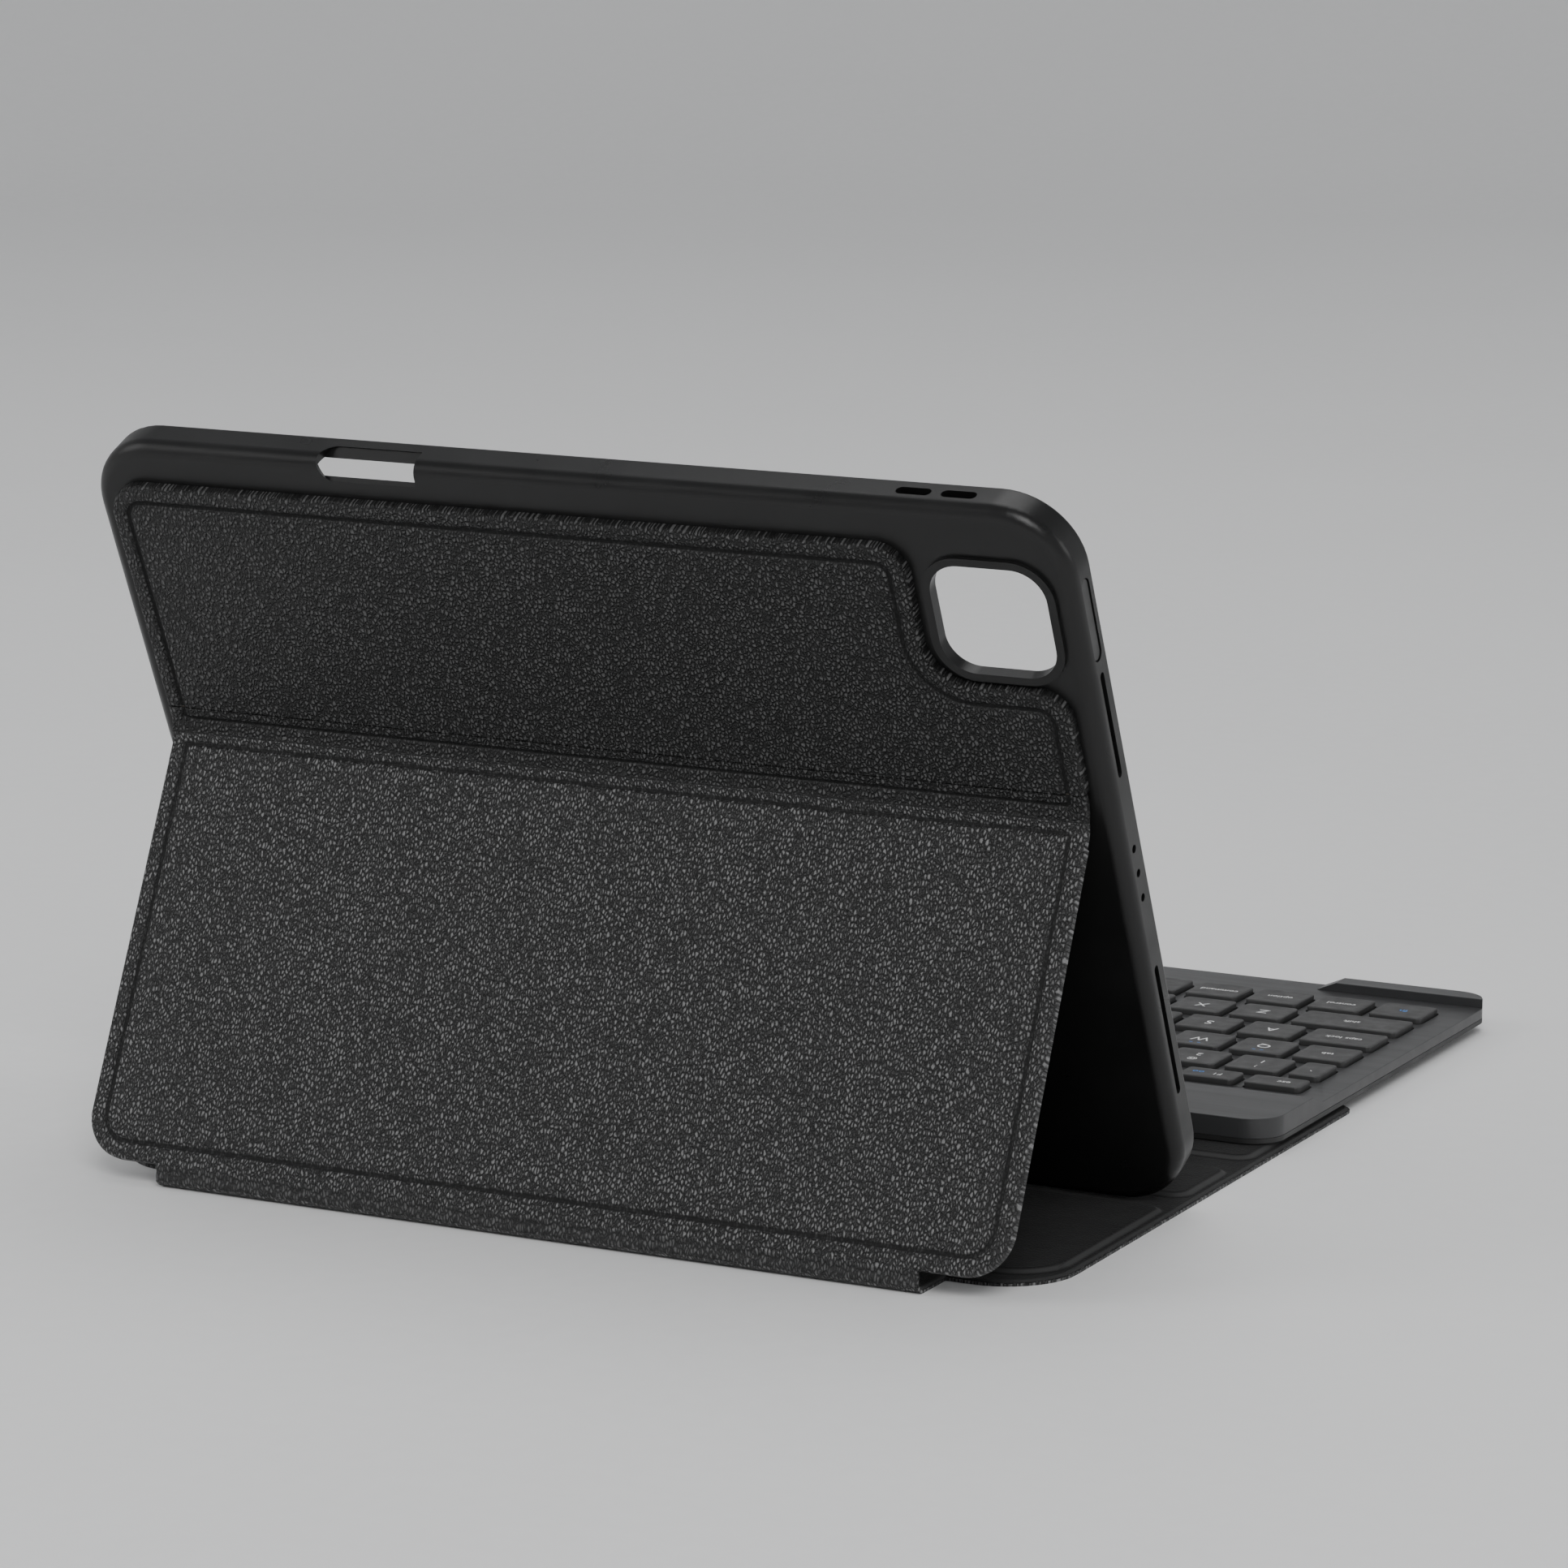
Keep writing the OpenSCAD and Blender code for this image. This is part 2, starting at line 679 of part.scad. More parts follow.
module function_keys() { color([0.3, 0.3, 0.31]) home() keycaps(function_list); }
module number_keys() { color([0.3, 0.3, 0.31]) home() keycaps(number_list); }
module upper_letter_keys() { color([0.3, 0.3, 0.31]) home() keycaps(upper_list); }
module home_letter_keys() { color([0.3, 0.3, 0.31]) home() keycaps(home_list); }
module lower_letter_keys() { color([0.3, 0.3, 0.31]) home() keycaps(lower_list); }
module command_keys() { color([0.3, 0.3, 0.31]) home() keycaps(command_list); }
module space_bar() { color([0.3, 0.3, 0.31]) home() keycaps(space_list); }
module arrow_keys() { color([0.3, 0.3, 0.31]) home() keycaps(arrow_list); }

rear_parts_y = -132.5;

module battery_pack() {
    color([0.75, 0.75, 0.78]) home()
        translate([-85, rear_parts_y, kb_low + 1.4]) cube([130, 22.5, 3.4]);
}

module control_board() {
    color([0.1, 0.35, 0.2]) home()
        translate([54, rear_parts_y, kb_low + 1.4]) cube([60, 22.5, 0.8]);
}

module charging_port() {
    deep = 7;
    inset = 0.3;
    metal = 0.3;
    out = kb_w / 2 - inset;
    color([0.7, 0.7, 0.72]) home() difference() {
        side_slot(port_y - port_half, port_y + port_half, port_z, port_w, out - deep, out);
        side_slot(port_y - port_half + metal, port_y + port_half - metal, port_z,
            port_w - 2 * metal, out - deep + metal, out + 1);
    }
}

module power_switch() {
    color([0.15, 0.15, 0.16]) home()
        translate([kb_w / 2 - 2.2, switch_y - 2.6, port_z - 0.7]) cube([2.1, 2.6, 1.4]);
}

module status_lights() {
    color([0.9, 0.9, 0.85]) home()
        discs([for (x = light_x) [x, light_y]], light_r, bar_z - 1.2, bar_z);
}

module keyboard_steel_plate() {
    color([0.6, 0.6, 0.62]) home()
        translate([-108, rear_parts_y, kb_low + case_floor]) cube([216, 22.5, 0.5]);
}

// Long pads with round ends under the front corners.
module front_rubber_feet() {
    long = 24;
    r = 3.5;
    y = -250;
    color([0.1, 0.1, 0.1]) home() for (x = [-96, 96])
        translate([x, 0, 0]) plate(long, y - r, y + r, 0, kb_low, r - eps, r - eps);
}

base_outer_skin();
base_lining();
base_board_rear();
base_board_middle();
base_board_front();
base_steel_strip();
base_magnets();
fold_outer_skin();
fold_lining();
kick_outer_skin();
kick_board();
kick_lining();
kick_magnets();
tablet_shell();
tray_lining();
upper_outer_skin();
upper_board();
shell_magnets();
shell_foot_magnets();
power_button_cap();
keyboard_top_frame();
keyboard_bottom_case();
key_support_plate();
membrane_circuit();
rubber_domes();
scissor_frames();
function_keys();
number_keys();
upper_letter_keys();
home_letter_keys();
lower_letter_keys();
command_keys();
space_bar();
arrow_keys();
battery_pack();
control_board();
charging_port();
power_switch();
status_lights();
keyboard_steel_plate();
front_rubber_feet();
case_screws();
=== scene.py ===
# Keyboard case for a tablet, standing open: leather, suede, moulded shell and keyboard in Blender.
# Lengths in the tables are millimetres in the CAD's frame; meshes are made in metres.
import json
import math

import bpy
import numpy as np
from mathutils import Matrix, Vector


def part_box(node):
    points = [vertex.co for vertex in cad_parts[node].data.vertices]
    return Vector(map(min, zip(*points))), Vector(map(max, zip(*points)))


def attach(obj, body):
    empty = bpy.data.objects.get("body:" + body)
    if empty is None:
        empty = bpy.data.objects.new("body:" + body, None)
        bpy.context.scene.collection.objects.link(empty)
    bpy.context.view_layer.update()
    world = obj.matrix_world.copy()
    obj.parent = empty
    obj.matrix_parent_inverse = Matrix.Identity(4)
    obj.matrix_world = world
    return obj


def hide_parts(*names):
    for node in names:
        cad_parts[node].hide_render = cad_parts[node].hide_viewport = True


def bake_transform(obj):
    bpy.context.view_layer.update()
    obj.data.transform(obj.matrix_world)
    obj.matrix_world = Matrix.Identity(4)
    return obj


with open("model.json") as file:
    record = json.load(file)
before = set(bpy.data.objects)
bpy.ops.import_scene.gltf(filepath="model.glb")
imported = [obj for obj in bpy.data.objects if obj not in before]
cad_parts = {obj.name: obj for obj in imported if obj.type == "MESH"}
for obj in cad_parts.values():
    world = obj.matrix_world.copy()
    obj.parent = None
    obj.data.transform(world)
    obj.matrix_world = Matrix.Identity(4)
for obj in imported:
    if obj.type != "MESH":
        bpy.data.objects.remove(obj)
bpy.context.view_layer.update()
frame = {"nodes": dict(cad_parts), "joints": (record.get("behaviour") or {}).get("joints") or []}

MM = 0.001
JOINT = {j["name"]: np.array(j["pos_m"]) / MM for j in frame["joints"] if "pos_m" in j}
CREASE_Y, CREASE_Z = JOINT["crease_fold"][1:]

# ---------------------------------------------------------------- camera
LENS, SENSOR = 136.4548, 36.0
EYE = Vector((-0.649258, 1.310108, 0.366299))
RIGHT = Vector((-0.892736, -0.450556, 0.004645))
UP = Vector((0.090361, -0.168923, 0.981479))
FORWARD = Vector((0.441426, -0.876621, -0.191516))

eye = bpy.data.cameras.new("view_camera")
eye.lens, eye.sensor_width, eye.clip_end = LENS, SENSOR, 50.0
view = bpy.data.objects.new("view_camera", eye)
bpy.context.scene.collection.objects.link(view)
axes = Matrix((RIGHT, UP, -FORWARD)).transposed()
view.matrix_world = Matrix.Translation(EYE) @ axes.to_4x4()
bpy.context.scene.camera = view


# ---------------------------------------------------------------- materials
def linear(grey, tint=(1.0, 1.0, 1.0)):
    """A linear colour from an sRGB grey of 0 to 255 and a tint."""
    value = ((grey / 255 + 0.055) / 1.055) ** 2.4 if grey > 10 else grey / 255 / 12.92
    return tuple(value * t for t in tint) + (1.0,)


def scaled(colour, share):
    return tuple(min(1.0, c * share) for c in colour[:3]) + (1.0,)


def finish(name, colour, rough, grain, vary=0.14, vary_size=18.0, rough_vary=0.07, coord="Object",
           stretch=(1, 1, 1), wear=0.0, wear_at=(0.52, 0.60), metal=0.0, sheen=0.0, coat=0.0,
           specular=0.5, grain_shade_and_highlight=None, line=None):
    """A procedural material: drifting colour and roughness, worn edges, and grain in relief.
    grain is a list of (kind, size in mm, depth in mm, stretch). The three numbers for the cells are
    (share of the colour in the gaps between cells, a painted shade; how far their tops lighten; share
    of the colour there, a painted highlight). line is the share of the colour where the mesh's mask
    attribute is 1, and the grain fades out there: painted shade along the leathers' grooves, crease
    and fold, and a painted highlight on the suede's plate slopes and rim."""
    made = bpy.data.materials.new(name)
    made.use_nodes = True
    tree = made.node_tree
    nodes, links = tree.nodes, tree.links
    shader = nodes["Principled BSDF"]
    place = nodes.new("ShaderNodeTexCoord").outputs["UV" if coord == "UV" else "Object"]

    def mapped(size, pull=(1, 1, 1)):
        at = nodes.new("ShaderNodeMapping")
        at.inputs["Scale"].default_value = [p / (size * MM) for p in pull]
        links.new(place, at.inputs["Vector"])
        return at.outputs["Vector"]

    def bent(source, amount=0.55):
        """The same place pushed about a little, so that cells aren't regular."""
        push = nodes.new("ShaderNodeTexNoise")
        push.inputs["Scale"].default_value = 1.1
        links.new(source, push.inputs["Vector"])
        by = nodes.new("ShaderNodeVectorMath")
        by.operation = "MULTIPLY_ADD"
        by.inputs[1].default_value = (amount,) * 3
        links.new(push.outputs["Color"], by.inputs[0])
        links.new(source, by.inputs[2])
        return by.outputs[0]

    def noise(size, pull=(1, 1, 1), detail=4.0):
        n = nodes.new("ShaderNodeTexNoise")
        n.inputs["Scale"].default_value = 1.0
        n.inputs["Detail"].default_value = detail
        links.new(mapped(size, pull), n.inputs["Vector"])
        return n.outputs["Fac"]

    def ranged(source, low, high, to_low, to_high):
        r = nodes.new("ShaderNodeMapRange")
        for key, value in (("From Min", low), ("From Max", high), ("To Min", to_low),
                           ("To Max", to_high)):
            r.inputs[key].default_value = value
        links.new(source, r.inputs["Value"])
        return r.outputs["Result"]

    def mixed(share, first, second):
        m = nodes.new("ShaderNodeMix")
        m.data_type = "RGBA"
        links.new(share, m.inputs["Factor"])
        for socket, value in ((m.inputs["A"], first), (m.inputs["B"], second)):
            if isinstance(value, tuple):
                socket.default_value = value
            else:
                links.new(value, socket)
        return m.outputs["Result"]

    drift = ranged(noise(vary_size, stretch), 0.3, 0.7, 0.0, 1.0)
    shade = mixed(drift, scaled(colour, 1 - vary), scaled(colour, 1 + vary))
    speck = ranged(noise(grain[0][1], grain[0][3], 2.0), 0.35, 0.7, 0.0, 0.55)
    shade = mixed(speck, shade, scaled(colour, 1 + 1.6 * vary))
    if wear:
        edge = nodes.new("ShaderNodeNewGeometry").outputs["Pointiness"]
        rub = ranged(edge, wear_at[0], wear_at[1], 0.0, wear)
        shade = mixed(rub, shade, scaled(colour, 2.2))
    gloss = ranged(noise(vary_size * 0.4, stretch), 0.3, 0.7, rough - rough_vary, rough + rough_vary)
    normal, relief, pressed_and_painted_mask = None, None, None
    if line:
        pressed = nodes.new("ShaderNodeAttribute")
        pressed.attribute_name = "pressed"
        pressed_and_painted_mask = pressed.outputs["Fac"]
    for kind, size, depth, pull in grain:
        if kind == "cells":
            t = nodes.new("ShaderNodeTexVoronoi")
            t.feature = "DISTANCE_TO_EDGE"
            t.inputs["Scale"].default_value = 1.0
            links.new(bent(mapped(size, pull)), t.inputs["Vector"])
            height = ranged(t.outputs["Distance"], 0.0, 0.30, 0.0, 1.0)
            relief = relief or height
        else:
            height = noise(size, pull, 5.0 if kind == "fibre" else 2.0)
        bump = nodes.new("ShaderNodeBump")
        bump.inputs["Strength"].default_value = 1.0
        if pressed_and_painted_mask:
            links.new(ranged(pressed_and_painted_mask, 0.2, 0.9, 1.0, 0.1), bump.inputs["Strength"])
        bump.inputs["Distance"].default_value = depth * MM
        links.new(height, bump.inputs["Height"])
        if normal:
            links.new(normal, bump.inputs["Normal"])
        normal = bump.outputs["Normal"]
    # Painted shade in the gaps between grain cells, and a painted highlight on the cell tops.
    if grain_shade_and_highlight:
        dark, light, lift = grain_shade_and_highlight
        shade = mixed(ranged(relief, 0.0, 0.55, 1.0, 0.0), shade, scaled(colour, dark))
        shade = mixed(ranged(relief, 0.6, 1.0, 0.0, light), shade, scaled(colour, lift))
    # Where the mask attribute is set, the colour is painted: shade along the leathers' grooves, crease
    # and fold, and a highlight on the suede's plate slopes and rim. The surface is made rougher there
    # too.
    if line:
        shade = mixed(ranged(pressed_and_painted_mask, 0.25, 0.85, 0.0, 0.9), shade, scaled(colour, line))
        rougher = nodes.new("ShaderNodeMath")
        rougher.operation = "MAXIMUM"
        links.new(gloss, rougher.inputs[0])
        links.new(ranged(pressed_and_painted_mask, 0.25, 0.85, 0.0, 0.88), rougher.inputs[1])
        gloss = rougher.outputs[0]
    links.new(gloss, shader.inputs["Roughness"])
    links.new(shade, shader.inputs["Base Color"])
    links.new(normal, shader.inputs["Normal"])
    shader.inputs["Metallic"].default_value = metal
    shader.inputs["Specular IOR Level"].default_value = specular
    shader.inputs["Sheen Weight"].default_value = sheen
    shader.inputs["Coat Weight"].default_value = coat
    return made


EVEN = (1, 1, 1)
ALONG_X = (0.02, 1, 1)
# In the leathers the grain's gaps carry painted shade and the cell tops a painted highlight. The last
# number of each leather darkens its masked lines as painted shade, and that of the suede lightens its
# masked slopes as a painted highlight.
MATERIAL = {
    "leather_fine": finish("leather_fine", linear(34), 0.46, [("cells", 1.15, 0.40, (1.3, 0.9, 1)),
                           ("fibre", 0.30, 0.03, EVEN)], coord="UV", vary=0.05, wear=0.15,
                           specular=0.35, grain_shade_and_highlight=(0.12, 1.0, 4.6), line=0.08),
    "leather_pebble": finish("leather_pebble", linear(68), 0.42,
                             [("cells", 1.10, 0.50, (1.5, 0.8, 1)), ("cells", 0.5, 0.10, EVEN),
                              ("fibre", 0.25, 0.03, EVEN)], coord="UV", vary=0.05, wear=0.2,
                             specular=0.4, grain_shade_and_highlight=(0.05, 0.95, 3.5), line=0.08),
    "suede": finish("suede", linear(27), 0.90, [("fibre", 0.45, 0.22, (1, 0.5, 1)),
                    ("soft", 2.2, 0.06, EVEN)], coord="UV", vary=0.22, vary_size=14, sheen=0.06,
                    specular=0.08, line=4.5),
    "microfibre": finish("microfibre", linear(62), 0.88, [("fibre", 0.28, 0.08, EVEN)], coord="UV",
                         vary=0.16, vary_size=22, sheen=0.3, specular=0.25),
    "shell_plastic": finish("shell_plastic", linear(22), 0.33, [("soft", 0.24, 0.022, EVEN),
                            ("soft", 0.7, 0.010, EVEN)], vary=0.07, vary_size=40,
                            specular=0.32),
    "button_plastic": finish("button_plastic", linear(44), 0.38, [("soft", 0.2, 0.015, EVEN)],
                             vary=0.08),
    "frame_satin": finish("frame_satin", linear(58, (0.98, 0.99, 1.02)), 0.36,
                          [("soft", 0.22, 0.012, ALONG_X), ("soft", 0.3, 0.01, EVEN)], vary=0.035,
                          vary_size=9, stretch=(0.05, 1, 1), specular=0.40, rough_vary=0.03),
    "case_plastic": finish("case_plastic", linear(34), 0.50, [("soft", 0.3, 0.04, EVEN)],
                           vary=0.08),
    "key_plastic": finish("key_plastic", linear(54), 0.44, [("soft", 0.16, 0.018, EVEN),
                          ("soft", 0.5, 0.01, EVEN)], vary=0.08, vary_size=9, wear=0.18),
    "ink_white": finish("ink_white", linear(248), 0.5, [("soft", 0.2, 0.004, EVEN)], vary=0.05),
    "ink_blue": finish("ink_blue", linear(225, (0.12, 0.40, 1.0)), 0.5,
                       [("soft", 0.2, 0.004, EVEN)], vary=0.05),
    "board": finish("board", linear(120, (1.0, 0.86, 0.68)), 0.8, [("fibre", 0.5, 0.05, EVEN)],
                    vary=0.15),
    "nickel": finish("nickel", linear(190, (1.0, 0.98, 0.94)), 0.28, [("soft", 0.4, 0.01, EVEN)],
                     vary=0.06, metal=1.0),
    "steel": finish("steel", linear(165), 0.36, [("soft", 0.3, 0.015, ALONG_X)], vary=0.07,
                    metal=1.0),
    "film": finish("film", linear(170, (0.9, 1.0, 0.95)), 0.3, [("soft", 0.6, 0.01, EVEN)],
                   vary=0.08),
    "rubber": finish("rubber", linear(38), 0.72, [("soft", 0.25, 0.03, EVEN)], vary=0.1),
    "dome_rubber": finish("dome_rubber", linear(200, (0.95, 0.97, 1.0)), 0.5,
                          [("soft", 0.3, 0.02, EVEN)], vary=0.06),
    "scissor": finish("scissor", linear(215), 0.45, [("soft", 0.3, 0.015, EVEN)], vary=0.06),
    "foil": finish("foil", linear(60, (0.9, 0.95, 1.0)), 0.32, [("soft", 2.5, 0.08, EVEN)],
                   vary=0.10, coat=0.3),
    "circuit": finish("circuit", linear(92, (0.25, 0.9, 0.45)), 0.38, [("soft", 0.5, 0.02, EVEN)],
                      vary=0.2, vary_size=5, coat=0.4),
    "lens": finish("lens", linear(150, (0.8, 1.0, 0.85)), 0.22, [("soft", 0.4, 0.005, EVEN)],
                   vary=0.06),
}
SLOT_MATERIAL = {
    "base_skin": "leather_pebble", "suede_lining": "suede", "stiffener_board": "board",
    "panel_leather": "leather_pebble", "upper_leather": "leather_fine",
    "shell_plastic": "shell_plastic", "tray_microfibre": "microfibre", "magnet_nickel": "nickel",
    "plate_steel": "steel", "button_plastic": "button_plastic", "keyboard_frame": "frame_satin",
    "keyboard_case": "case_plastic", "key_plastic": "key_plastic", "membrane_film": "film",
    "dome_rubber": "dome_rubber", "scissor_plastic": "scissor", "battery_foil": "foil",
    "circuit_board": "circuit", "port_metal": "nickel", "light_lens": "lens",
    "foot_rubber": "rubber", "screw_steel": "steel",
}
for node in frame["nodes"].values():
    for place in node.material_slots:
        place.material = MATERIAL[SLOT_MATERIAL[place.material.name]]

# Moulded nodes are shaded smooth up to SPLIT_ANGLE, and one has its edges softened as well.
MOULDED = ("keyboard_top_frame", "keyboard_bottom_case", "tablet_shell", "power_button_cap",
           "power_switch", "charging_port")
SOFTENED, SOFT_WIDTH = "keyboard_top_frame", 0.22
SPLIT_ANGLE, SOFT_ANGLE = math.radians(32), math.radians(40)
LEVEL = 0.9999
for name in MOULDED:
    node = frame["nodes"][name]
    weld = node.modifiers.new("welded", "WELD")
    weld.merge_threshold = 0.001 * MM
    if name == SOFTENED:
        edge = node.modifiers.new("softened", "BEVEL")
        edge.width, edge.segments, edge.limit_method = SOFT_WIDTH * MM, 2, "ANGLE"
        edge.angle_limit, edge.use_clamp_overlap = SOFT_ANGLE, False
    split = node.modifiers.new("sharp_edges", "EDGE_SPLIT")
    split.split_angle, split.use_edge_sharp = SPLIT_ANGLE, False
    even = node.modifiers.new("even_shading", "WEIGHTED_NORMAL")
    even.mode, even.weight = "FACE_AREA", 80
    node.data.shade_smooth()
    if name == SOFTENED:
        # Level faces are shaded flat, so that the slope beside them doesn't tint them.
        even.keep_sharp = True
        for face in node.data.polygons:
            face.use_smooth = abs(face.normal.z) < LEVEL

# ---------------------------------------------------------------- the soft run, seen from the side
# s runs along the middle of the two plies: up the shell below 0, down the folding panel from 0,
# round the fold at its foot, and forward along the table.
LEAN = math.radians(24.5)
PLY = 1.3
KICK = 106.0
FOLD_TURN = math.pi / 2 + LEAN
FOLD_R = 3.4071
FOLD_LEN = FOLD_R * FOLD_TURN
CREASE_SOFT = 2.6
TABLE_S = KICK + FOLD_LEN

S = np.arange(-90.0, 330.0, 0.02)
bend = np.clip((S + CREASE_SOFT) / (2 * CREASE_SOFT), 0, 1)
ANGLE = LEAN * (2 * bend - 1)
ANGLE = np.where(S > KICK, LEAN - np.clip((S - KICK) / FOLD_LEN, 0, 1) * FOLD_TURN, ANGLE)
step = np.diff(S)
middle = (ANGLE[1:] + ANGLE[:-1]) / 2
RUN_Y = np.concatenate([[0], np.cumsum(np.sin(middle) * step)])
RUN_Z = np.concatenate([[0], np.cumsum(-np.cos(middle) * step)])
foot = (CREASE_Y + KICK * math.sin(LEAN) - PLY / 2 * math.cos(LEAN),
        CREASE_Z - KICK * math.cos(LEAN) - PLY / 2 * math.sin(LEAN))
RUN_Y += foot[0] - np.interp(KICK, S, RUN_Y)
RUN_Z += foot[1] - np.interp(KICK, S, RUN_Z)


def run(s, h):
    """World y and z of a point h outside the run's middle at s."""
    turn = np.interp(s, S, ANGLE)
    return (np.interp(s, S, RUN_Y) + h * np.cos(turn), np.interp(s, S, RUN_Z) + h * np.sin(turn))


def shell_side(s, h):
    """World y and z at a height -s up the shell's back plane and h outside it."""
    return (CREASE_Y - s * math.sin(LEAN) + h * math.cos(LEAN),
            CREASE_Z - s * math.cos(LEAN) - h * math.sin(LEAN))


def table_s(y):
    """s of a point of the run that lies on the table, from its world y."""
    return TABLE_S + np.interp(TABLE_S, S, RUN_Y) - y


# ---------------------------------------------------------------- outlines, negative inside
def rounded(x0, x1, s0, s1, r):
    """A rectangle with corner radius r, as a signed distance."""
    def inside(x, s):
        qx = np.abs(x - (x0 + x1) / 2) - ((x1 - x0) / 2 - r)
        qs = np.abs(s - (s0 + s1) / 2) - ((s1 - s0) / 2 - r)
        return np.hypot(np.maximum(qx, 0), np.maximum(qs, 0)) + np.minimum(np.maximum(qx, qs), 0) - r
    return inside


def both(a, b, r):
    """Inside a and b, with the corners between them rounded."""
    def inside(x, s):
        p, q = a(x, s), b(x, s)
        corner = (p > -r) & (q > -r)
        return np.where(corner, np.hypot(p + r, q + r) - r, np.maximum(p, q))
    return inside


def either(*shapes):
    return lambda x, s: np.minimum.reduce([shape(x, s) for shape in shapes])


def outside(a):
    return lambda x, s: -a(x, s)


def lines(breaks, fine=0.4, coarse=4.0, reach=7.0):
    """Grid lines, close together near every break."""
    found = []
    for a, b in zip(breaks, breaks[1:]):
        near = min(reach, (b - a) / 2)
        n = max(1, round(near / fine))
        found += [a + near * i / n for i in range(n + 1)] + [b - near * i / n for i in range(n + 1)]
        gap = b - a - 2 * near
        if gap > 0.01:
            m = max(1, round(gap / coarse))
            found += [a + near + gap * i / m for i in range(m + 1)]
    return np.unique(np.round(found, 3))


def mesh_object(name, points, faces, material, uv=None, sharp=40.0):
    mesh = bpy.data.meshes.new(name)
    mesh.from_pydata([tuple(p) for p in points], [], faces)
    if uv is not None:
        layer = mesh.uv_layers.new(name="flat_run")
        at = np.empty(len(mesh.loops), np.int32)
        mesh.loops.foreach_get("vertex_index", at)
        layer.data.foreach_set("uv", np.asarray(uv, np.float32)[at].ravel())
    mesh.shade_smooth()
    mesh.set_sharp_from_angle(angle=math.radians(sharp))
    mesh.materials.append(MATERIAL[material])
    made = bpy.data.objects.new(name, mesh)
    bpy.context.scene.collection.objects.link(made)
    return made


def cut_sheet(name, xs, ss, outline, top, under, place, material, pressed=None):
    """A closed sheet cut to an outline, from a top and an under height over (x, s)."""
    gx, gs = np.meshgrid(np.asarray(xs, float), np.asarray(ss, float), indexing="ij")
    keep = outline((gx[1:, 1:] + gx[:-1, :-1]) / 2, (gs[1:, 1:] + gs[:-1, :-1]) / 2) < 0
    around = np.zeros(gx.shape, int)
    for i in (0, 1):
        for j in (0, 1):
            around[i:i + keep.shape[0], j:j + keep.shape[1]] += keep
    rim = (around > 0) & (around < 4)
    small = 0.02
    for _ in range(4):
        d = outline(gx, gs)
        dx = (outline(gx + small, gs) - outline(gx - small, gs)) / (2 * small)
        ds = (outline(gx, gs + small) - outline(gx, gs - small)) / (2 * small)
        long = np.maximum(dx * dx + ds * ds, 0.2)
        gx = np.where(rim, gx - d * dx / long, gx)
        gs = np.where(rim, gs - d * ds / long, gs)
    used = around > 0
    number = np.full(gx.shape, -1)
    count = int(used.sum())
    number[used] = np.arange(count)
    x, s = gx[used], gs[used]
    inward = np.maximum(-outline(x, s), 0)
    high, low = top(x, s, inward), under(x, s, inward)
    points = []
    for h in (high, low):
        y, z = place(s, h)
        points.append(np.stack([x, y, z], 1) * MM)
    faces, open_edges = [], set()
    for i, j in zip(*np.nonzero(keep)):
        a, b, c, d = number[i, j], number[i + 1, j], number[i + 1, j + 1], number[i, j + 1]
        faces.append((a, b, c, d))
        faces.append((d + count, c + count, b + count, a + count))
        for edge in ((a, b), (b, c), (c, d), (d, a)):
            if (edge[1], edge[0]) in open_edges:
                open_edges.remove((edge[1], edge[0]))
            else:
                open_edges.add(edge)
    faces += [(b, a, a + count, b + count) for a, b in sorted(open_edges)]
    first = faces[0]
    corner = [points[0][k] for k in first[:3]]
    facing = np.cross(corner[1] - corner[0], corner[2] - corner[0])
    outward = points[0][first[0]] - points[1][first[0]]
    if facing @ outward < 0:
        faces = [tuple(reversed(f)) for f in faces]
    uv = np.tile(np.stack([x, s], 1) * MM, (2, 1))
    made = mesh_object(name, np.concatenate(points), [tuple(map(int, f)) for f in faces], material, uv)
    # The mask feeds painted shade and painted highlights in finish, and smooths the grain there.
    marks = np.zeros(count) if pressed is None else np.broadcast_to(pressed(x, s), x.shape)
    layer = made.data.attributes.new("pressed", "FLOAT", "POINT")
    layer.data.foreach_set("value", np.tile(marks, 2).astype(np.float32))
    return made


def rolled(e, r):
    """How far a rolled edge of radius r drops at a distance e in from the rim."""
    return -(r - np.sqrt(np.maximum(r * r - (r - np.minimum(e, r)) ** 2, 0)))


def channel(e, at, wide=1.5):
    """How deep in an embossed line a point is, from 0 to 1, at a distance e in from the rim."""
    return np.exp(-(((e - at) / (wide / 2)) ** 4))


def groove(e, at, wide, deep):
    """The height of an embossed line: 0 away from it and -deep along it."""
    return -deep * channel(e, at, wide)


def eased(a, b, value):
    """0 below a, 1 above b, and smooth between."""
    t = np.clip((value - a) / (b - a), 0, 1)
    return t * t * (3 - 2 * t)


def level(h):
    """A face of a sheet that keeps one height."""
    return lambda x, s, e: np.full_like(x, h)


def crosses(piece):
    """Bake the sheet's placement into its mesh."""
    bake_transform(piece)


# ---------------------------------------------------------------- leather and suede
HALF_PANEL, HALF_FOLD, HALF_BASE = 121.5, 100.5, 124.8
SKIN = 0.65
PANEL_T, UPPER_T = 2.5, 2.8
EDGE_ROLL = 1.0
GROOVE_IN, GROOVE_WIDE, GROOVE_DEEP = 4.4, 1.5, 0.50
STRIP_UP, STRIP_DOWN = 7.0, 6.0
UPPER_TOP = 69.7
PEAK = 0.9


def crease_lift(s):
    """The leather stands a little proud of both panels along the crease."""
    return PEAK * np.where(s < 0, 1 - eased(0.0, 4.2, -s), 1 - eased(0.0, 3.6, s))


